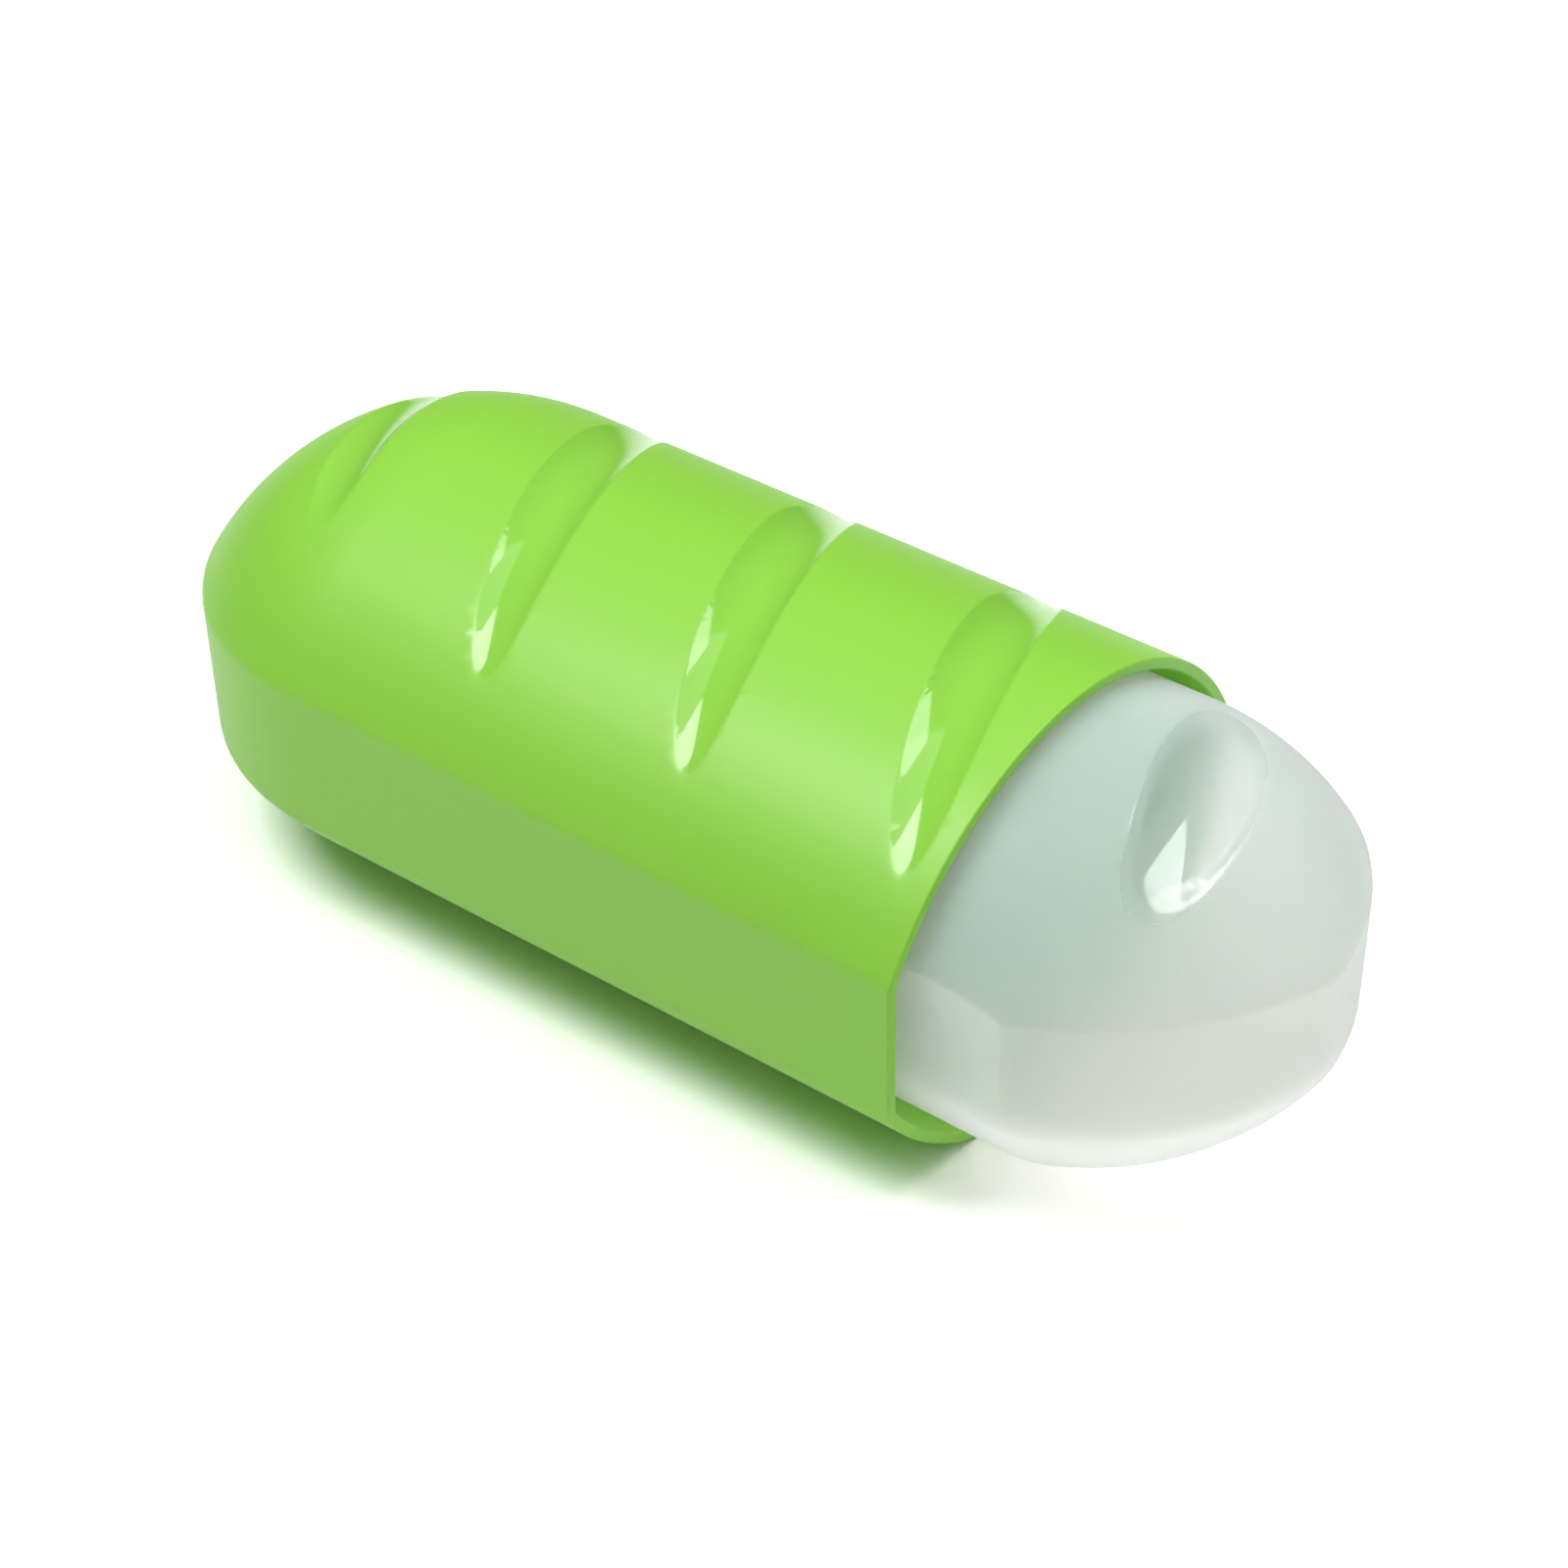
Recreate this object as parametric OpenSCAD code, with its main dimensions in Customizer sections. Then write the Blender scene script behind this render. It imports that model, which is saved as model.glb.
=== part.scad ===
// Loaf-shaped sandwich box: a sleeve with one closed end, and a second sleeve that slides out of its mouth.
// Millimetres. +X runs from the closed end to the mouth, +Z is up, z = 0 is the table.

/* [Outer shell] */
// Width over the side walls at the crease
body_w = 100; // [92:0.5:108]
// Height from the table to the crown
body_h = 79.4; // [75:0.1:84]
// Length from the closed end to the mouth
outer_len = 180.5; // [165:0.5:200]
// Wall thickness of both shells
wall = 2.2; // [2:0.1:2.6]

/* [Section] */
// Height of the crease between side wall and crown
crease_z = 50.1; // [47:0.1:53]
// Height of the corner between side wall and bilge
bilge_z = 21.9; // [18:0.1:25]
// Width of the flat the box stands on
foot_w = 45.2; // [38:0.1:50]
// How far the bilge bows out from a straight chamfer
bilge_bow = 2.3; // [1.5:0.1:3]
// How far each side wall leans in between crease and bilge
wall_lean = 1.1; // [0.5:0.1:1.8]
// Radius that softens the outer crease
crease_r = 4; // [3:0.1:6]
// Radius that softens the outer bilge corner
bilge_r = 5; // [3.5:0.1:7]

/* [Inner shell] */
// How far the inner sleeve's open rear edge stops short of the closed end's round
rear_clear = 5.4; // [2:0.1:40]
// How far the nose stands out of the mouth when the box is shut
protrude = 52.9; // [48:0.1:58]
// Clearance between the pressed-in slashes and the inner crown
crown_gap = 0.5; // [0.4:0.1:1.5]
// Clearance beside each inner side wall at the crease
side_gap = 3.4; // [2.8:0.1:4.5]
// Clearance under the inner floor
floor_gap = 0.3; // [0.3:0.1:1]
// Clearance between the two shells' bilges at the foot
bilge_gap = 0.6; // [0.4:0.1:1.5]
// How much higher the inner crease runs than the outer one
inner_crease_rise = 0.9; // [0:0.1:2]
// How much higher the inner bilge corner runs than the outer one
inner_bilge_rise = 5.4; // [4:0.1:7]
// How far each nose arc's centre lies past the middle plane, which points the nose
nose_cross = 4.8; // [3:0.1:7]
// How far the nose arcs run wide of the side walls, which makes the corner where the nose starts
nose_wide = 2.7; // [1:0.1:5]
// How far the crown's own round stops short of the nose
crown_back = 1.9; // [1.2:0.1:2.6]

/* [Slashes] */
// Distance between slashes along the loaf
slash_pitch = 44.1; // [41:0.1:46]
// Distance of the last outer slash behind the mouth
slash_back = 18.7; // [17:0.1:22]
// Turn of the outer slashes from square to the loaf, in degrees
slash_yaw = 15; // [10:0.5:20]
// Width of an outer slash
slash_w = 13.6; // [11:0.1:16]
// Half length of an outer slash
slash_half = 40; // [37:0.1:42]
// Depth of an outer slash
slash_depth = 2.2; // [1.6:0.1:2.3]
// Distance of the end slash from the closed end
end_slash_in = 29.4; // [25:0.1:36]
// Half length of the slash on the closed end
end_slash_half = 30; // [26:0.5:33]
// Depth of the slash on the closed end
end_slash_depth = 1.8; // [1.4:0.1:2.2]
// Distance of the nose slash from the nose
nose_slash_in = 28; // [25:0.1:32]
// Turn of the nose slash from square to the loaf, in degrees
nose_slash_yaw = 17; // [12:0.5:22]
// Width of the slash on the nose
nose_slash_w = 19.8; // [16:0.1:21]
// Half length of the slash on the nose
nose_slash_half = 25; // [22:0.5:27]
// Depth of the slash on the nose
nose_slash_depth = 3.4; // [2.6:0.1:3.8]
// Wall left under every slash, pressed into the hollow
slash_wall = 1.2; // [1:0.1:1.4]

/* [Hidden] */
$fn = 96;

mouth_x = (outer_len - protrude) / 2;
half_w = body_w / 2;
crown_r = arch_radius(half_w, body_h - crease_z);
crown_z = body_h - crown_r;
end_x = mouth_x - outer_len + half_w;

in_half_w = half_w - wall - side_gap;
slash_press = max(0, slash_depth + slash_wall - wall);
in_h = body_h - wall - slash_press - crown_gap;
in_floor = wall + floor_gap;
in_crease_z = crease_z + inner_crease_rise;
in_bilge_z = bilge_z + inner_bilge_rise;
in_foot = foot_w / 2 - bilge_gap;
in_crown_r = arch_radius(in_half_w, in_h - in_crease_z);
in_crown_z = in_h - in_crown_r;
nose_x = mouth_x + protrude;
rear_x = end_x + rear_clear;
nose_grow = nose_cross + nose_wide;
nose_r = in_half_w + nose_grow;
nose_cx = nose_x - sqrt(nose_r * nose_r - nose_cross * nose_cross);
in_end_x = nose_x - crown_back - in_half_w;
last_slash_x = mouth_x - slash_back;
end_slash_x = mouth_x - outer_len + end_slash_in;
nose_slash_x = nose_x - nose_slash_in;
// Run-past of a cutter, so that no two faces only touch
over = 1;

// Radius of an arch from its half span and rise
function arch_radius(half, rise) = (half * half + rise * rise) / (2 * rise);

// Bilge arc from wall corner a to foot corner b, bowed by s: [centre, radius]
function bilge_arc(a, b, s) =
    let (c = norm(b - a), r = arch_radius(c / 2, s), m = (a + b) / 2, n = [a[1] - b[1], b[0] - a[0]] / c)
    [m - n * (r - s), r];

// Centre of a circle of radius r that touches the leaning wall and a circle about o of radius big.
// side = 1 for the circle above the wall, -1 for the one below.
function soft_centre(p, lam, o, big, r, side) =
    let (e1 = [cos(lam), -sin(lam)], e2 = [sin(lam), cos(lam)], d = o - p,
         d1 = d * e1, d2 = d * e2, q2 = d2 + side * sqrt(pow(big - r, 2) - pow(-r - d1, 2)))
    p - r * e1 + q2 * e2;

// Right half of the outer loaf section, x = distance from the middle plane, y = height, skin moved in by off
module outer_half(off) {
    p = [half_w, crease_z];
    k = [half_w - wall_lean, bilge_z];
    f = [foot_w / 2, 0];
    lam = atan(wall_lean / (crease_z - bilge_z));
    e1 = [cos(lam), -sin(lam)];
    arc = bilge_arc(k, f, bilge_bow);
    o = [0, crown_z];
    qc = soft_centre(p, lam, o, crown_r, crease_r, 1);
    qk = soft_centre(p, lam, arc[0], arc[1], bilge_r, -1);
    tc = qc + (qc - o) / norm(qc - o) * (crown_r - norm(qc - o) - off);
    wc = qc + e1 * (crease_r - off);
    tk = qk + (qk - arc[0]) / norm(qk - arc[0]) * (arc[1] - norm(qk - arc[0]) - off);
    wk = qk + e1 * (bilge_r - off);
    difference() {
        intersection() {
            translate(o) circle(crown_r - off);
            translate(arc[0]) circle(arc[1] - off);
            translate([0, off]) square([body_w, body_h]);
        }
        polygon([tk, wk, wc, tc, [body_w, tc[1]], [body_w, tk[1]]]);
    }
    intersection() {
        translate(qc) circle(crease_r - off);
        polygon([qc, wc, wc + crease_r * [1, 0], tc + crease_r * [1, 1], tc]);
    }
    intersection() {
        translate(qk) circle(bilge_r - off);
        polygon([qk, tk, tk + bilge_r * [1, -1], wk + bilge_r * [1, 0], wk]);
    }
}

// Lower part of the inner section up to high above the crown, skin moved in by off, and out by grow for the nose
module inner_low_half(off, grow) {
    k = [in_half_w + grow, in_bilge_z];
    f = [in_foot + grow, in_floor];
    arc = bilge_arc(k, f, bilge_bow);
    intersection() {
        translate([0, in_floor + off]) square([in_half_w + grow - off, body_h]);
        translate(arc[0]) circle(arc[1] - off);
    }
}

// Loaf section of the outer shell, both halves
module outer_section(off) {
    outer_half(off);
    mirror([1, 0]) outer_half(off);
}

// Solid loaf of the outer shell with its round closed end, run past the mouth by extra
module outer_loaf(off, extra) {
    translate([end_x, 0, 0]) rotate([90, 0, 90])
        linear_extrude(mouth_x - end_x + extra) outer_section(off);
    translate([end_x, 0, 0]) rotate([0, 0, 90]) rotate_extrude(angle = 180) outer_half(off);
}

// Lower body of the inner shell: straight sides, and a nose made of two crossing round ends
module inner_low(off, extra) {
    intersection() {
        translate([rear_x - extra, 0, 0]) rotate([90, 0, 90])
            linear_extrude(nose_x - rear_x + extra + over) inner_low_section(off);
        union() {
            translate([rear_x - extra - over, -in_half_w - over, -over])
                cube([nose_cx - rear_x + extra + 2 * over, 2 * in_half_w + 2 * over, 2 * body_h]);
            intersection() {
                translate([nose_cx, -nose_cross, 0]) rotate_extrude() inner_low_half(off, nose_grow);
                translate([nose_cx, nose_cross, 0]) rotate_extrude() inner_low_half(off, nose_grow);
            }
        }
    }
}

module inner_low_section(off) {
    inner_low_half(off, 0);
    mirror([1, 0]) inner_low_half(off, 0);
}

// Crown of the inner shell: a round bar with a ball end
module inner_crown(off, extra) {
    translate([rear_x - extra, 0, in_crown_z]) rotate([0, 90, 0])
        cylinder(h = in_end_x - rear_x + extra, r = in_crown_r - off);
    translate([in_end_x, 0, in_crown_z]) sphere(in_crown_r - off);
}

// Solid loaf of the inner shell, run past its rear edge by extra
module inner_loaf(off, extra) {
    intersection() {
        inner_low(off, extra);
        inner_crown(off, extra);
    }
}

// Ring whose top cuts or backs a slash. x, z: point on the crown; tip: lean along the loaf; yaw: turn from square;
// drop: fall of the crown over the slash's half length; grow: wall added around the groove
module slash_ring(x, z, tip, yaw, width, half, depth, drop, grow) {
    groove_r = arch_radius(width / 2, depth);
    path_r = arch_radius(half, drop - depth);
    translate([x, 0, z]) rotate([0, tip, 0]) rotate([0, 0, yaw])
        translate([0, 0, -depth - path_r]) rotate([0, 90, 0])
            rotate_extrude() translate([path_r + groove_r, 0]) circle(groove_r + grow);
}

// Fall of a round crown of radius r over a half length h
function fall(r, h) = r - sqrt(r * r - h * h);

// The four slashes of the outer shell
module outer_slashes(grow) {
    for (i = [0:2])
        slash_ring(last_slash_x - i * slash_pitch, body_h, 0, slash_yaw, slash_w, slash_half, slash_depth,
                   fall(crown_r, slash_half * cos(slash_yaw)), grow);
    tip = asin(max(0, end_x - end_slash_x) / crown_r);
    slash_ring(end_slash_x, crown_z + crown_r * cos(tip), -tip, slash_yaw, slash_w, end_slash_half,
               end_slash_depth, fall(crown_r, end_slash_half), grow);
}

// The slash on the nose
module nose_slash(grow) {
    tip = asin((nose_slash_x - in_end_x) / in_crown_r);
    slash_ring(nose_slash_x, in_crown_z + in_crown_r * cos(tip), tip, nose_slash_yaw, nose_slash_w,
               nose_slash_half, nose_slash_depth, fall(in_crown_r, nose_slash_half), grow);
}

module outer_shell() {
    color([0.42, 0.80, 0.16])
    difference() {
        union() {
            difference() {
                outer_loaf(0, 0);
                outer_loaf(wall, over);
            }
            intersection() {
                outer_loaf(0, 0);
                outer_slashes(slash_wall);
            }
        }
        outer_slashes(0);
    }
}

module inner_shell() {
    color([0.86, 0.90, 0.87, 0.6])
    difference() {
        union() {
            difference() {
                inner_loaf(0, 0);
                inner_loaf(wall, over);
            }
            intersection() {
                inner_loaf(0, 0);
                nose_slash(slash_wall);
            }
        }
        nose_slash(0);
    }
}

outer_shell();
inner_shell();
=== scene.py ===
"""Loaf-shaped sandwich box: a satin green sleeve with one closed end and polished slashes across its crown,
and a frosted sleeve that slides out of its mouth. The shells are in millimetres, the scene is in metres."""
import math

import bmesh
import bpy
import numpy as np
from mathutils import Matrix, Vector


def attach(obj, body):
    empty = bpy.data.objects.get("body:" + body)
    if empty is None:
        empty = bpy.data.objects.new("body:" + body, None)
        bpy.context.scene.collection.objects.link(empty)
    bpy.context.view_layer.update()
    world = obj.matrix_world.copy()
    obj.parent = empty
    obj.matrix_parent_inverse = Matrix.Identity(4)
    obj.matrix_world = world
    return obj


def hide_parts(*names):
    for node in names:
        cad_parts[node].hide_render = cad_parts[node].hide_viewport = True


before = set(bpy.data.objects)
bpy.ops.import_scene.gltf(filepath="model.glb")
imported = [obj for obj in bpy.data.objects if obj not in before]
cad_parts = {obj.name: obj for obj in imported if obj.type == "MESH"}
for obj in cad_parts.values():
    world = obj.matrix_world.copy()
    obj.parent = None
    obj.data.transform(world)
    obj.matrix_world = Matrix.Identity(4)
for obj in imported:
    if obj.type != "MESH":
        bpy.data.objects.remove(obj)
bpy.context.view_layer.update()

MM = 0.001

# Outer shell
BODY_W = 100.0
BODY_H = 79.4
OUTER_LEN = 180.5
WALL = 2.2
CREASE_Z = 50.1
BILGE_Z = 21.9
FOOT_W = 45.2
BILGE_BOW = 2.3
WALL_LEAN = 1.1

# Inner shell
REAR_CLEAR = 5.4
PROTRUDE = 52.9
CROWN_GAP = 0.5
SIDE_GAP = 3.4
FLOOR_GAP = 0.3
BILGE_GAP = 0.6
INNER_CREASE_RISE = 0.9
INNER_BILGE_RISE = 5.4
NOSE_CROSS = 4.8
NOSE_WIDE = 2.7
CROWN_BACK = 1.9

# Slashes
SLASH_PITCH = 44.1
SLASH_BACK = 18.7
SLASH_YAW = math.radians(15)
SLASH_W = 13.6
SLASH_HALF = 40.0
SLASH_DEPTH = 2.2
END_SLASH_IN = 29.4
END_SLASH_HALF = 30.0
END_SLASH_DEPTH = 1.8
NOSE_SLASH_IN = 28.0
NOSE_SLASH_YAW = math.radians(17)
NOSE_SLASH_W = 19.8
NOSE_SLASH_HALF = 25.0
NOSE_SLASH_DEPTH = 3.4
SLASH_WALL = 1.2

# Widths over which two faces round into each other
CREASE_BLEND = 0.57
BILGE_BLEND = 0.79
FOOT_BLEND = 0.5
INNER_CREASE_BLEND = 0.45
INNER_BILGE_BLEND = 0.8
NOSE_BLEND = 0.5
SLASH_EDGE = 0.22
NOSE_SLASH_EDGE = 0.9
SLASH_BACKING = 0.6
RIM_BLEND = 0.55

# Depth of cut at which the polish of a slash starts, and over which it comes in
POLISH_FROM = 0.03
POLISH_FADE = 0.1

# Height of the points that the skins are traced from, how far the tracing reaches and how often it halves
HEART_Z = 38.0
TRACE_REACH = 95.0
TRACE_HALVINGS = 34

# Mesh steps along the straight run of each shell, round its closed end, and from floor to crown
OUTER_RUN_STEPS = 64
INNER_RUN_STEPS = 60
ROUND_STEPS = 72
ROWS = 72

# Edges longer than the finest are split where the surface turns or the polish starts, and points closer
# than the weld are joined
FINEST_EDGE = 0.22
BEND_LIMIT = math.radians(7)
POLISH_STEP = 0.3
SPLIT_PASSES = 4
WELD = 1e-4

# Steps that put a point on a surface: how many, the longest one and the flattest slope that counts
SETTLE_ROUNDS = 8
SETTLE_LONGEST = 0.5
SETTLE_FLATTEST = 0.05
SLOPE_STEP = 0.002


def arch_radius(half, rise):
    """Radius of an arch from its half span and rise."""
    return (half * half + rise * rise) / (2 * rise)


def fall(radius, half):
    """Fall of a round crown over a half length."""
    return radius - math.sqrt(radius * radius - half * half)


def bilge_arc(top, foot, bow):
    """Centre and radius of the bilge from its two corners, each (distance from the middle, height)."""
    top = np.array(top)
    foot = np.array(foot)
    chord = np.linalg.norm(foot - top)
    radius = arch_radius(chord / 2, bow)
    out = np.array([top[1] - foot[1], foot[0] - top[0]]) / chord
    return (top + foot) / 2 - out * (radius - bow), radius


MOUTH_X = (OUTER_LEN - PROTRUDE) / 2
HALF_W = BODY_W / 2
CROWN_R = arch_radius(HALF_W, BODY_H - CREASE_Z)
CROWN_Z = BODY_H - CROWN_R
END_X = MOUTH_X - OUTER_LEN + HALF_W
LEAN = math.atan(WALL_LEAN / (CREASE_Z - BILGE_Z))
BILGE_C, BILGE_R = bilge_arc((HALF_W - WALL_LEAN, BILGE_Z), (FOOT_W / 2, 0), BILGE_BOW)

IN_HALF_W = HALF_W - WALL - SIDE_GAP
IN_H = BODY_H - WALL - (SLASH_DEPTH + SLASH_WALL - WALL) - CROWN_GAP
IN_FLOOR = WALL + FLOOR_GAP
IN_CREASE_Z = CREASE_Z + INNER_CREASE_RISE
IN_BILGE_Z = BILGE_Z + INNER_BILGE_RISE
IN_FOOT = FOOT_W / 2 - BILGE_GAP
IN_CROWN_R = arch_radius(IN_HALF_W, IN_H - IN_CREASE_Z)
IN_CROWN_Z = IN_H - IN_CROWN_R
NOSE_X = MOUTH_X + PROTRUDE
REAR_X = END_X + REAR_CLEAR
NOSE_GROW = NOSE_CROSS + NOSE_WIDE
NOSE_R = IN_HALF_W + NOSE_GROW
NOSE_CX = NOSE_X - math.sqrt(NOSE_R * NOSE_R - NOSE_CROSS * NOSE_CROSS)
IN_END_X = NOSE_X - CROWN_BACK - IN_HALF_W
IN_BILGE_C, IN_BILGE_R = bilge_arc((IN_HALF_W, IN_BILGE_Z), (IN_FOOT, IN_FLOOR), BILGE_BOW)


def smooth_max(a, b, blend):
    """Larger of two distances, with the corner between them rounded over a width."""
    near = np.maximum(blend - np.abs(a - b), 0.0) / blend
    return np.maximum(a, b) + 0.25 * blend * near * near


class Slash:
    """A groove cut across a crown by the lower side of a ring."""

    def __init__(self, x, z, tip, yaw, width, half, depth, drop):
        self.place = np.array([x, 0.0, z])
        self.groove_r = arch_radius(width / 2, depth)
        self.path_r = arch_radius(half, drop - depth)
        self.depth = depth
        turn = Matrix.Rotation(tip, 3, "Y") @ Matrix.Rotation(yaw, 3, "Z")
        self.turn = np.array(turn)

    def distance(self, p):
        """Distance from the ring, negative inside it."""
        local = (p - self.place) @ self.turn
        ring = np.hypot(local[:, 1], local[:, 2] + self.depth + self.path_r)
        return np.hypot(ring - self.path_r - self.groove_r, local[:, 0]) - self.groove_r


def crown_slashes():
    """The four slashes of the outer shell."""
    drop = fall(CROWN_R, SLASH_HALF * math.cos(SLASH_YAW))
    last = MOUTH_X - SLASH_BACK
    rings = [Slash(last - i * SLASH_PITCH, BODY_H, 0, SLASH_YAW, SLASH_W, SLASH_HALF, SLASH_DEPTH, drop)
             for i in range(3)]
    x = MOUTH_X - OUTER_LEN + END_SLASH_IN
    tip = math.asin((END_X - x) / CROWN_R)
    z = CROWN_Z + CROWN_R * math.cos(tip)
    end_drop = fall(CROWN_R, END_SLASH_HALF)
    return rings + [Slash(x, z, -tip, SLASH_YAW, SLASH_W, END_SLASH_HALF, END_SLASH_DEPTH, end_drop)]


def nose_slashes():
    """The slash on the nose."""
    x = NOSE_X - NOSE_SLASH_IN
    tip = math.asin((x - IN_END_X) / IN_CROWN_R)
    z = IN_CROWN_Z + IN_CROWN_R * math.cos(tip)
    drop = fall(IN_CROWN_R, NOSE_SLASH_HALF)
    return [Slash(x, z, tip, NOSE_SLASH_YAW, NOSE_SLASH_W, NOSE_SLASH_HALF, NOSE_SLASH_DEPTH, drop)]


class Shell:
    """A thin loaf with one open end, as a function that is negative inside its wall."""

    def __init__(self, slashes, slash_edge, open_x, open_way):
        self.slashes = slashes
        self.slash_edge = slash_edge
        self.open_x = open_x
        self.open_way = open_way

    def loaf(self, p):
        """Distance from the solid loaf, which each shell gives."""
        raise NotImplementedError

    def grooves(self, p):
        """Distance from the nearest slash ring."""
        return np.min([slash.distance(p) for slash in self.slashes], axis=0)

    def skin(self, p):
        """Distance from the outside face, slashes cut in."""
        return smooth_max(self.loaf(p), -self.grooves(p), self.slash_edge)

    def hollow(self, p):
        """Distance from the inside face, the backs of the slashes standing in it."""
        return smooth_max(self.loaf(p) + WALL, SLASH_WALL - self.grooves(p), SLASH_BACKING)

    def wall(self, p):
        """Distance from the moulded wall with its rounded rim."""
        rim = (p[:, 0] - self.open_x) * self.open_way
        return smooth_max(np.maximum(self.skin(p), -self.hollow(p)), rim, RIM_BLEND)

    def polish(self, p):
        """1 on the polished slashes and their backs, 0 on the textured skin."""
        face = np.where(self.skin(p) > -0.5 * SLASH_WALL, 0.0, WALL)
        cut = -self.loaf(p) - face
        near = self.grooves(p) < SLASH_WALL + SLASH_BACKING
        return near * np.clip((cut - POLISH_FROM) / POLISH_FADE, 0.0, 1.0)


class OuterShell(Shell):
    """The sleeve with a round closed end."""

    def loaf(self, p):
        x, y, z = p.T
        out = np.where(x > END_X, np.abs(y), np.hypot(x - END_X, y))
        crown = np.hypot(out, z - CROWN_Z) - CROWN_R
        side = (out - HALF_W) * math.cos(LEAN) - (z - CREASE_Z) * math.sin(LEAN)
        bilge = np.hypot(out - BILGE_C[0], z - BILGE_C[1]) - BILGE_R
        low = smooth_max(smooth_max(side, bilge, BILGE_BLEND), -z, FOOT_BLEND)
        return smooth_max(low, crown, CREASE_BLEND)


class InnerShell(Shell):
    """The sleeve with a nose made of two crossing round ends."""

    def low_body(self, out, z, grow):
        """Side, bilge and floor of the lower body."""
        bilge = np.hypot(out - grow - IN_BILGE_C[0], z - IN_BILGE_C[1]) - IN_BILGE_R
        side = smooth_max(out - grow - IN_HALF_W, bilge, INNER_BILGE_BLEND)
        return smooth_max(side, IN_FLOOR - z, FOOT_BLEND)

    def loaf(self, p):
        x, y, z = p.T
        ahead = np.maximum(x - NOSE_CX, 0.0)
        near = self.low_body(np.hypot(ahead, y - NOSE_CROSS), z, NOSE_GROW)
        far = self.low_body(np.hypot(ahead, y + NOSE_CROSS), z, NOSE_GROW)
        nose = smooth_max(near, far, NOSE_BLEND)
        low = smooth_max(self.low_body(np.abs(y), z, 0.0), nose, NOSE_BLEND)
        past = np.maximum(x - IN_END_X, 0.0)
        crown = np.sqrt(past * past + y * y + (z - IN_CROWN_Z) ** 2) - IN_CROWN_R
        return smooth_max(low, crown, INNER_CREASE_BLEND)


def slope(distance, p):
    """Gradient of a distance at points."""
    shifts = np.eye(3) * SLOPE_STEP
    return np.stack([distance(p + s) - distance(p - s) for s in shifts], axis=1) / (2 * SLOPE_STEP)


def settle(distance, p):
    """Points moved onto the surface where a distance is zero."""
    for _ in range(SETTLE_ROUNDS):
        grade = slope(distance, p)
        steep = np.maximum((grade * grade).sum(axis=1), SETTLE_FLATTEST)
        move = np.clip(distance(p) / steep, -SETTLE_LONGEST, SETTLE_LONGEST)
        p = p - grade * move[:, None]
    return p


def trace(loaf, start, way):
    """Points where rays from the heart of a loaf leave it."""
    near = np.zeros(len(start))
    far = np.full(len(start), TRACE_REACH)
    for _ in range(TRACE_HALVINGS):
        middle = (near + far) / 2
        inside = loaf(start + way * middle[:, None]) < 0
        near = np.where(inside, middle, near)
        far = np.where(inside, far, middle)
    return start + way * near[:, None]


def stations(open_x, turn_x, run_steps):
    """Path of a sweep in plan: in along the near side, round the closed end and out along the far side.
    Each station is (x, heading)."""
    end_way = math.copysign(1.0, turn_x - open_x)
    run = np.linspace(open_x, turn_x, run_steps + 1)
    near = [(x, -math.pi / 2) for x in run[:-1]]
    angles = np.linspace(-math.pi / 2, math.pi / 2, ROUND_STEPS + 1)
    bend = [(turn_x, a if end_way > 0 else math.pi - a - math.pi * 2) for a in angles]
    far = [(x, math.pi / 2) for x in run[::-1][1:]]
    return near + bend + far


def sweep_skin(loaf, path):
    """Grid of points on a loaf's skin: one column of rows from floor to crown at each station."""
    lift = np.linspace(-math.pi / 2, math.pi / 2, ROWS + 1)
    x = np.array([s[0] for s in path])[:, None]
    heading = np.array([s[1] for s in path])[:, None]
    way = np.stack([np.cos(heading) * np.cos(lift), np.sin(heading) * np.cos(lift),
                    np.sin(lift) + 0 * heading], axis=-1).reshape(-1, 3)
    start = np.stack([x + 0 * lift, 0 * x + 0 * lift, HEART_Z + 0 * x + 0 * lift], axis=-1).reshape(-1, 3)
    return trace(loaf, start, way)


def mesh_shell(shell, path):
    """Closed mesh of a shell: two swept skins and the rim between them, finer wherever the surface bends."""
    count = len(path)
    skins = [sweep_skin(face, path) for face in (shell.skin, shell.hollow)]
    bm = bmesh.new()
    grid = [[bm.verts.new(p) for p in skin] for skin in skins]

    def at(skin, i, j):
        return grid[skin][i * (ROWS + 1) + j]

    for skin in (0, 1):
        for i in range(count - 1):
            for j in range(ROWS):
                bm.faces.new((at(skin, i, j), at(skin, i + 1, j), at(skin, i + 1, j + 1), at(skin, i, j + 1)))
    for i in (0, count - 1):
        for j in range(ROWS):
            bm.faces.new((at(0, i, j), at(0, i, j + 1), at(1, i, j + 1), at(1, i, j)))
    bmesh.ops.remove_doubles(bm, verts=bm.verts, dist=WELD)
    for _ in range(SPLIT_PASSES):
        points, normals = place_points(bm, shell)
        edges = bending_edges(bm, points, normals, shell.polish(points))
        bmesh.ops.subdivide_edges(bm, edges=edges, cuts=1, use_grid_fill=True)
    points, normals = place_points(bm, shell)
    bmesh.ops.recalc_face_normals(bm, faces=bm.faces)
    return bm, points, normals


def place_points(bm, shell):
    """Puts every vertex on the shell's surface and returns the points and their normals."""
    points = settle(shell.wall, np.array([v.co for v in bm.verts]))
    for v, p in zip(bm.verts, points):
        v.co = p
    bm.verts.index_update()
    grade = slope(shell.wall, points)
    return points, grade / np.linalg.norm(grade, axis=1)[:, None]


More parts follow.
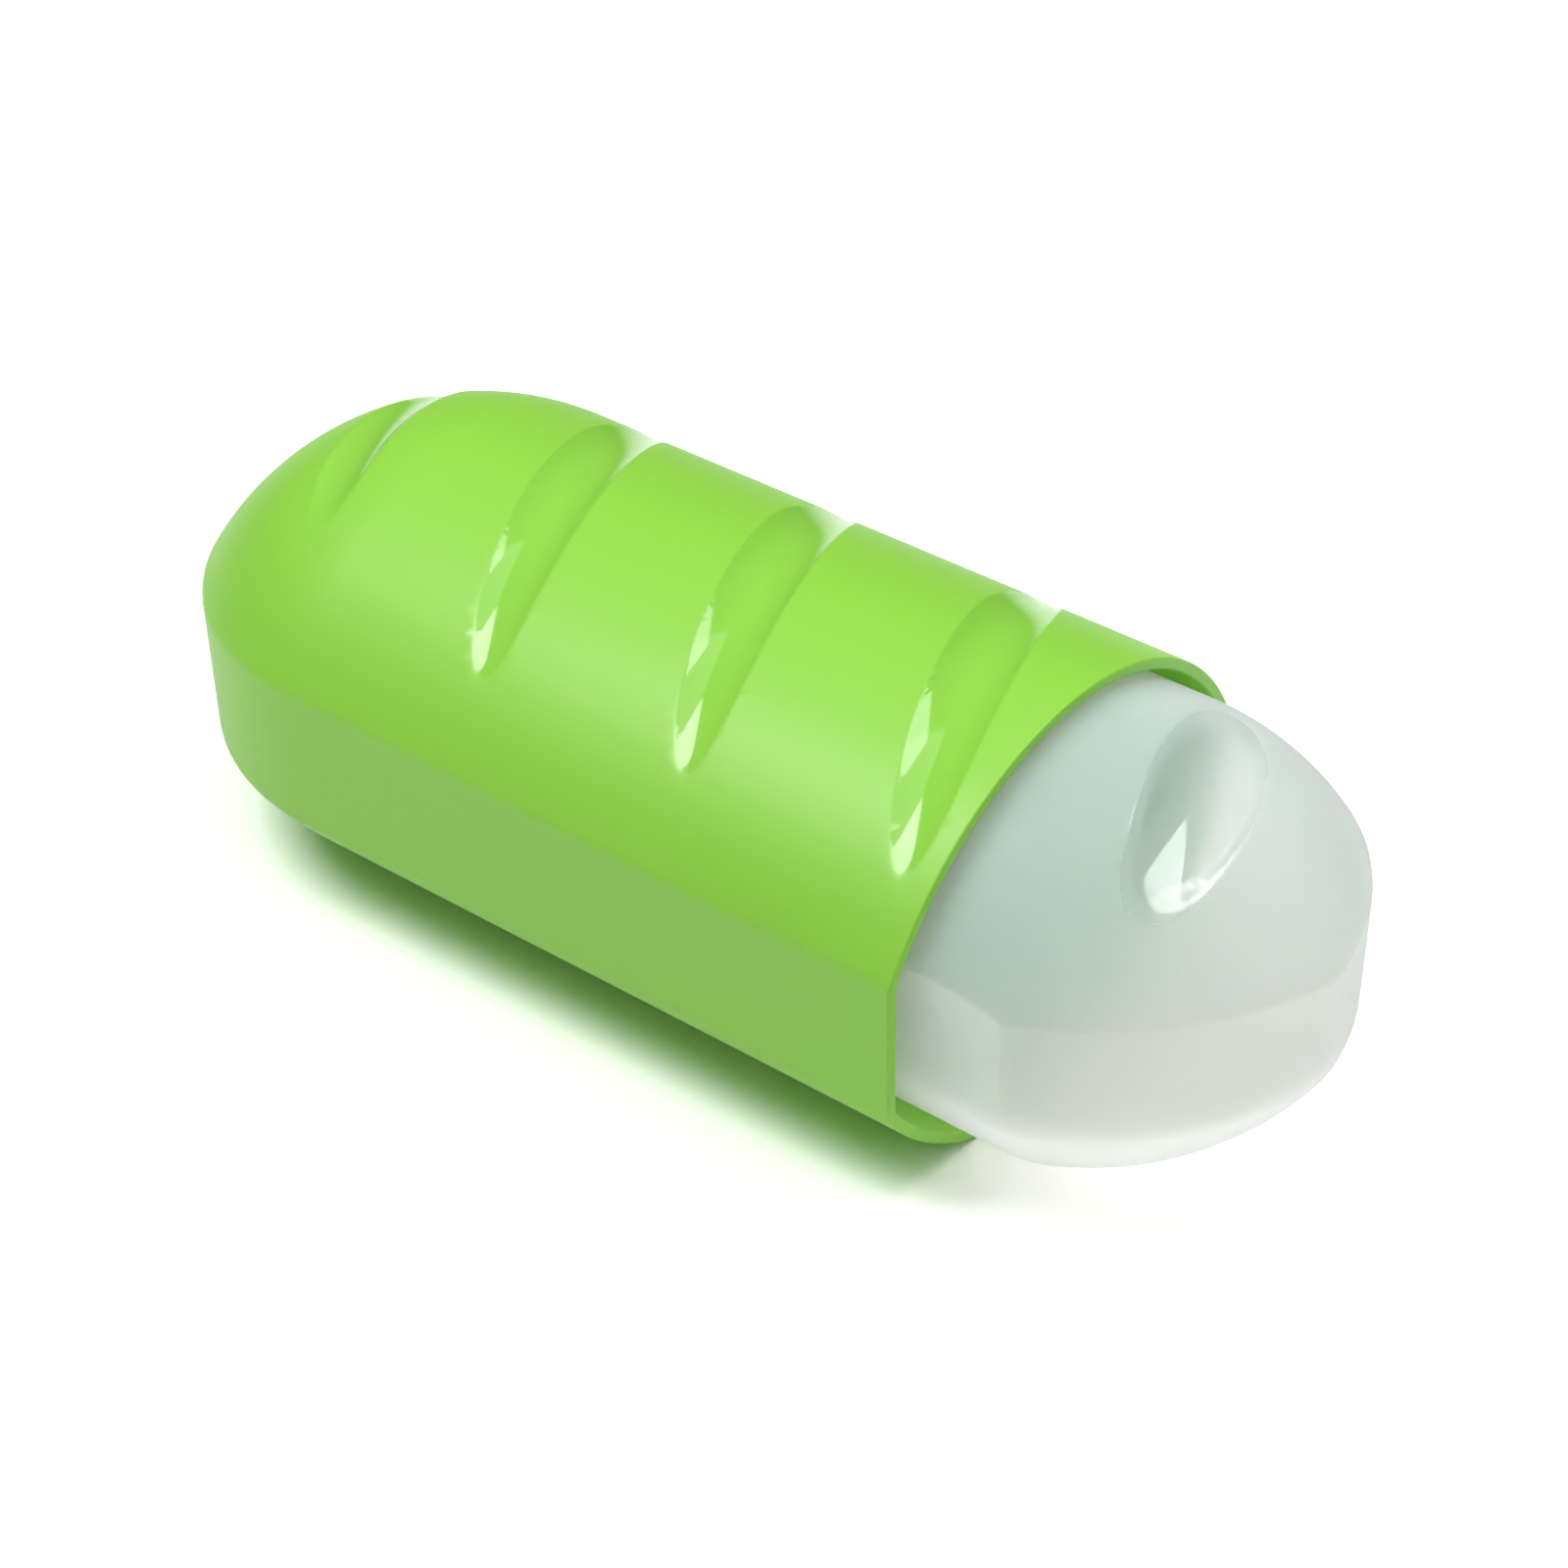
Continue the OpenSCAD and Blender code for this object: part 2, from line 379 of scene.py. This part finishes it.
def bending_edges(bm, points, normals, polish):
    """Edges along which the surface turns too far for their length, or the polish starts."""
    ends = np.array([[v.index for v in e.verts] for e in bm.edges])
    turn = (normals[ends[:, 0]] * normals[ends[:, 1]]).sum(axis=1)
    length = np.linalg.norm(points[ends[:, 0]] - points[ends[:, 1]], axis=1)
    bends = (turn < math.cos(BEND_LIMIT)) & (length > FINEST_EDGE)
    steps = np.abs(polish[ends[:, 0]] - polish[ends[:, 1]]) > POLISH_STEP
    split = bends | (steps & (length > 2 * FINEST_EDGE))
    return [e for e, chosen in zip(bm.edges, split) if chosen]


def shell_object(name, shell, path):
    """Mesh object of a shell in metres, with its exact normals and the mask of its polished faces."""
    bm, points, normals = mesh_shell(shell, path)
    for v in bm.verts:
        v.co *= MM
    mesh = bpy.data.meshes.new(name)
    bm.to_mesh(mesh)
    bm.free()
    mesh.shade_smooth()
    mesh.normals_split_custom_set_from_vertices([tuple(n) for n in normals])
    mask = mesh.attributes.new("polish", "FLOAT", "POINT")
    mask.data.foreach_set("value", shell.polish(points).astype(np.float32))
    piece = bpy.data.objects.new(name, mesh)
    bpy.context.scene.collection.objects.link(piece)
    return piece


class Value:
    """A node's output that takes part in sums: each operation adds a Math node."""

    def __init__(self, finish, socket):
        self.finish = finish
        self.socket = socket

    def join(self, operation, first, second):
        """Adds the Math node of an operation."""
        return self.finish.node("ShaderNodeMath", {"operation": operation}, {0: first, 1: second})

    def __add__(self, other):
        return self.join("ADD", self, other)

    def __radd__(self, other):
        return self.join("ADD", other, self)

    def __sub__(self, other):
        return self.join("SUBTRACT", self, other)

    def __rsub__(self, other):
        return self.join("SUBTRACT", other, self)

    def __mul__(self, other):
        return self.join("MULTIPLY", self, other)

    def __rmul__(self, other):
        return self.join("MULTIPLY", other, self)


class Finish:
    """A node tree that a finish is written in."""

    def __init__(self, tree):
        self.tree = tree
        self.tree.nodes.clear()

    def node(self, kind, settings, sockets, output=0):
        """Adds a node: its settings first, then the values or links of its sockets."""
        added = self.tree.nodes.new(kind)
        for key, setting in settings.items():
            setattr(added, key, setting)
        for key, entry in sockets.items():
            if isinstance(entry, Value):
                self.tree.links.new(entry.socket, added.inputs[key])
            else:
                added.inputs[key].default_value = entry
        return Value(self, added.outputs[output] if added.outputs else None)

    def mix_colour(self, factor, first, second):
        """Colour between two colours."""
        colours = {"Factor": factor, 6: first, 7: second}
        return self.node("ShaderNodeMix", {"data_type": "RGBA"}, colours, output=2)


def new_material(name):
    """An empty material and the finish that fills it."""
    material = bpy.data.materials.new(name)
    material.use_nodes = True
    return material, Finish(material.node_tree)


# Octaves of every noise
NOISE_DETAIL = 2.0


def moulded_grain(finish, size_mm, height_mm, rest):
    """Normal of a fine spark-eroded mould texture, laid only where rest is 1."""
    place = finish.node("ShaderNodeTexCoord", {}, {}, output="Object")
    noise = {"Vector": place, "Scale": 1 / (size_mm * MM), "Detail": NOISE_DETAIL}
    grain = finish.node("ShaderNodeTexNoise", {}, noise)
    bump = {"Height": grain * rest, "Strength": 1.0, "Distance": height_mm * MM}
    return finish.node("ShaderNodeBump", {}, bump)


def polished(rough, shiny, polish):
    """Roughness that falls from the textured skin to the polished slashes."""
    return rough - (rough - shiny) * polish


# Satin green plastic
GREEN_DEEP = (0.338, 0.735, 0.072, 1)
GREEN_LIGHT = (0.355, 0.758, 0.082, 1)
GREEN_POLISHED = (0.348, 0.745, 0.090, 1)
GREEN_THROUGH = (0.40, 0.95, 0.10, 1)
GREEN_THROUGH_SHARE = 0.22
GREEN_DRIFT_SCALE = 30.0
GREEN_ROUGH = 0.42
GREEN_SHINY = 0.09
GREEN_IOR = 1.54
GREEN_GRAIN_SIZE = 0.35
GREEN_GRAIN_HEIGHT = 0.012


def satin_green():
    """Green plastic that lets a little light through: satin skin with a fine grain, and polished slashes."""
    material, finish = new_material("satin_green")
    polish = finish.node("ShaderNodeAttribute", {"attribute_name": "polish"}, {}, output="Fac")
    place = finish.node("ShaderNodeTexCoord", {}, {}, output="Object")
    noise = {"Vector": place, "Scale": GREEN_DRIFT_SCALE, "Detail": NOISE_DETAIL}
    drift = finish.node("ShaderNodeTexNoise", {}, noise)
    skin = finish.mix_colour(drift, GREEN_DEEP, GREEN_LIGHT)
    colour = finish.mix_colour(polish, skin, GREEN_POLISHED)
    shell = finish.node("ShaderNodeBsdfPrincipled", {}, {
        "Base Color": colour,
        "Roughness": polished(GREEN_ROUGH, GREEN_SHINY, polish),
        "IOR": GREEN_IOR,
        "Normal": moulded_grain(finish, GREEN_GRAIN_SIZE, GREEN_GRAIN_HEIGHT, 1 - polish),
    })
    glow = finish.node("ShaderNodeBsdfTranslucent", {}, {"Color": GREEN_THROUGH})
    shader = finish.node("ShaderNodeMixShader", {}, {0: GREEN_THROUGH_SHARE, 1: shell, 2: glow})
    finish.node("ShaderNodeOutputMaterial", {}, {"Surface": shader})
    return material


# Frosted plastic: the milk in it, the clear body that shows what is behind, and a dark shader where the wall
# is seen edge-on, partly loss along the wall and partly painted shade on the bilge and outline
MILK_BACK = (0.62, 0.95, 0.94, 1)
MILK_ROUGH = 0.50
MILK_SHINY = 0.05
MILK_IOR = 1.65
MILK_THROUGH = (1.0, 0.95, 0.93, 1)
MILK_THROUGH_SHARE = 0.66
CLEAR_COLOUR = (0.97, 0.89, 0.88, 1)
CLEAR_ROUGH = 0.70
CLEAR_SHINY = 0.06
CLEAR_IOR = 1.15
COAT_IOR = 1.49
COAT_ROUGH = 0.05
GRAZING_BLEND = 0.5
SEE_THROUGH = 0.60
SEE_POLISHED = 0.05
SEE_GRAZING = 0.5
# Dark shader seen edge-on: partly loss along the wall, partly painted shade on the bilge and outline
EDGE_LOSS_AND_SHADE_COLOUR = (0.40, 0.34, 0.34, 1)
EDGE_LOSS_AND_SHADE_ROUGH = 0.6
EDGE_LOSS_AND_SHADE_GRAZING = 0.33
LAMP_SHARE = 0.75
LAMP_COLOUR = (0.90, 0.90, 0.90, 1)
FROST_GRAIN_SIZE = 0.4
FROST_GRAIN_HEIGHT = 0.01


def frosted_clear():
    """Translucent plastic: a milky, frosted skin that blurs what is behind it, and a polished slash.
    The milk sends cool light back and lets warm light through. Where a wall is seen edge-on a dark shader is
    mixed in: partly loss along the wall, partly painted shade on the bilge and outline."""
    material, finish = new_material("frosted_clear")
    polish = finish.node("ShaderNodeAttribute", {"attribute_name": "polish"}, {}, output="Fac")
    frost = moulded_grain(finish, FROST_GRAIN_SIZE, FROST_GRAIN_HEIGHT, 1 - polish)
    skin = finish.node("ShaderNodeBsdfPrincipled", {}, {
        "Base Color": MILK_BACK,
        "Roughness": polished(MILK_ROUGH, MILK_SHINY, polish),
        "IOR": MILK_IOR,
        "Normal": frost,
    })
    glow = finish.node("ShaderNodeBsdfTranslucent", {}, {"Color": MILK_THROUGH})
    milk = finish.node("ShaderNodeMixShader", {}, {0: MILK_THROUGH_SHARE, 1: skin, 2: glow})
    clear = finish.node("ShaderNodeBsdfPrincipled", {}, {
        "Base Color": CLEAR_COLOUR,
        "Roughness": polished(CLEAR_ROUGH, CLEAR_SHINY, polish),
        "IOR": CLEAR_IOR,
        "Transmission Weight": 1.0,
        "Coat Weight": polish,
        "Coat IOR": COAT_IOR,
        "Coat Roughness": COAT_ROUGH,
        "Normal": frost,
    })
    edge = finish.node("ShaderNodeLayerWeight", {}, {"Blend": GRAZING_BLEND}, output="Facing")
    graze = edge * edge
    see = SEE_THROUGH + SEE_POLISHED * polish - SEE_GRAZING * graze
    frosted = finish.node("ShaderNodeMixShader", {}, {0: see, 1: milk, 2: clear})
    # Dark shader mixed in at grazing view: partly loss along the wall, partly painted shade that darkens the
    # bilge and the outline against the table
    edge_loss_and_shade = finish.node("ShaderNodeBsdfPrincipled", {}, {
        "Base Color": EDGE_LOSS_AND_SHADE_COLOUR,
        "Roughness": EDGE_LOSS_AND_SHADE_ROUGH,
    })
    edge_loss_and_shade_share = EDGE_LOSS_AND_SHADE_GRAZING * graze * graze
    wall = finish.node("ShaderNodeMixShader", {}, {0: edge_loss_and_shade_share, 1: frosted, 2: edge_loss_and_shade})
    lamp = finish.node("ShaderNodeLightPath", {}, {}, output="Is Shadow Ray")
    lit = finish.node("ShaderNodeBsdfTransparent", {}, {"Color": LAMP_COLOUR})
    shader = finish.node("ShaderNodeMixShader", {}, {0: LAMP_SHARE * lamp, 1: wall, 2: lit})
    finish.node("ShaderNodeOutputMaterial", {}, {"Surface": shader})
    return material


# Room light, the heights between which its ring comes in and goes out, and the table as light falls on it,
# as it is mirrored and as it is seen
TENT_DIM = 0.03
TENT_GLOW = 0.12
TENT_RISE = (0.50, 0.64)
TENT_FADE = (0.80, 0.94)
FLOOR_HALF = 4.0
FLOOR_LIT = (0.85, 0.85, 0.85, 1)
FLOOR_MIRRORED = (1.30, 1.30, 1.30, 1)
FLOOR_SEEN = (1.35, 1.35, 1.35, 1)

# Camera, worked out from the photograph
VIEW_AZIMUTH = math.radians(37.316)
VIEW_ELEVATION = math.radians(36.552)
VIEW_ROLL = math.radians(0.609)
VIEW_DISTANCE = 0.6724
VIEW_TARGET = Vector((0.00061, 0.00508, 0.030))
VIEW_LENS = 86.54
VIEW_NEAR = 0.01


def add_camera():
    """Camera at the photograph's place."""
    right = Vector((math.cos(VIEW_AZIMUTH), math.sin(VIEW_AZIMUTH), 0))
    back = Vector((math.sin(VIEW_AZIMUTH) * math.cos(VIEW_ELEVATION),
                   -math.cos(VIEW_AZIMUTH) * math.cos(VIEW_ELEVATION),
                   math.sin(VIEW_ELEVATION)))
    upright = Matrix((right, back.cross(right), back)).transposed()
    turn = upright @ Matrix.Rotation(VIEW_ROLL, 3, "Z")
    data = bpy.data.cameras.new("camera")
    data.lens = VIEW_LENS
    data.clip_start = VIEW_NEAR
    camera = bpy.data.objects.new("camera", data)
    camera.matrix_world = Matrix.Translation(VIEW_TARGET + back * VIEW_DISTANCE) @ turn.to_4x4()
    bpy.context.scene.collection.objects.link(camera)
    bpy.context.scene.camera = camera


def add_softbox(name, azimuth, elevation, distance, width, height, strength):
    """Rectangular softbox that faces the box from a direction, in degrees, at a distance."""
    azimuth = math.radians(azimuth)
    elevation = math.radians(elevation)
    way = Vector((math.cos(azimuth) * math.cos(elevation),
                  math.sin(azimuth) * math.cos(elevation),
                  math.sin(elevation)))
    data = bpy.data.lights.new(name, "AREA")
    data.shape = "RECTANGLE"
    data.size = width
    data.size_y = height
    data.energy = strength
    lamp = bpy.data.objects.new(name, data)
    lamp.matrix_world = Matrix.Translation(way * distance) @ way.to_track_quat("Z", "Y").to_matrix().to_4x4()
    bpy.context.scene.collection.objects.link(lamp)


def add_world():
    """Dim room with a ring of soft light above the box, like the walls of a light tent."""
    world = bpy.data.worlds.new("light_tent")
    bpy.context.scene.world = world
    world.use_nodes = True
    finish = Finish(world.node_tree)
    way = finish.node("ShaderNodeTexCoord", {}, {}, output="Generated")
    height = finish.node("ShaderNodeSeparateXYZ", {}, {"Vector": way}, output="Z")
    smooth = {"interpolation_type": "SMOOTHSTEP"}
    spans = [{"Value": height, "From Min": low, "From Max": high} for low, high in (TENT_RISE, TENT_FADE)]
    rise, fade = [finish.node("ShaderNodeMapRange", smooth, span) for span in spans]
    background = {"Color": (1, 1, 1, 1), "Strength": TENT_DIM + TENT_GLOW * rise * (1 - fade)}
    finish.node("ShaderNodeOutputWorld", {}, {"Surface": finish.node("ShaderNodeBackground", {}, background)})


def add_floor():
    """White table that keeps the box's shadow."""
    mesh = bpy.data.meshes.new("floor")
    corners = [(x * FLOOR_HALF, y * FLOOR_HALF, 0) for x, y in ((-1, -1), (1, -1), (1, 1), (-1, 1))]
    mesh.from_pydata(corners, [], [(0, 1, 2, 3)])
    floor = bpy.data.objects.new("floor", mesh)
    bpy.context.scene.collection.objects.link(floor)
    material, finish = new_material("white_table")
    camera, glossy, through = [finish.node("ShaderNodeLightPath", {}, {}, output=f"Is {kind} Ray")
                               for kind in ("Camera", "Glossy", "Transmission")]
    mirrored = finish.node("ShaderNodeClamp", {}, {"Value": glossy + through})
    colour = finish.mix_colour(camera, finish.mix_colour(mirrored, FLOOR_LIT, FLOOR_MIRRORED), FLOOR_SEEN)
    diffuse = finish.node("ShaderNodeBsdfDiffuse", {}, {"Color": colour})
    finish.node("ShaderNodeOutputMaterial", {}, {"Surface": diffuse})
    mesh.materials.append(material)


def dress(piece, material, body, node):
    """Gives a piece its finish and body, and hides the imported part of its node."""
    piece.data.materials.append(material)
    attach(piece, body)
    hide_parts(node)


add_camera()
outer = shell_object("outer_sleeve", OuterShell(crown_slashes(), SLASH_EDGE, MOUTH_X, 1),
                     stations(MOUTH_X, END_X, OUTER_RUN_STEPS))
inner = shell_object("inner_sleeve", InnerShell(nose_slashes(), NOSE_SLASH_EDGE, REAR_X, -1),
                     stations(REAR_X, NOSE_CX, INNER_RUN_STEPS))
dress(outer, satin_green(), "outer", "outer_shell")
dress(inner, frosted_clear(), "inner", "inner_shell")

add_world()
add_floor()
add_softbox("key_softbox", azimuth=-132, elevation=62, distance=1.0,
            width=0.40, height=0.40, strength=5.7)
add_softbox("back_softbox", azimuth=55, elevation=64, distance=1.0,
            width=0.33, height=0.50, strength=3.4)
add_softbox("top_softbox", azimuth=0, elevation=89, distance=1.0,
            width=0.70, height=0.70, strength=3.0)
add_softbox("nose_softbox", azimuth=5, elevation=35, distance=1.2,
            width=0.90, height=0.70, strength=1.0)
bpy.context.scene.view_settings.view_transform = "Standard"
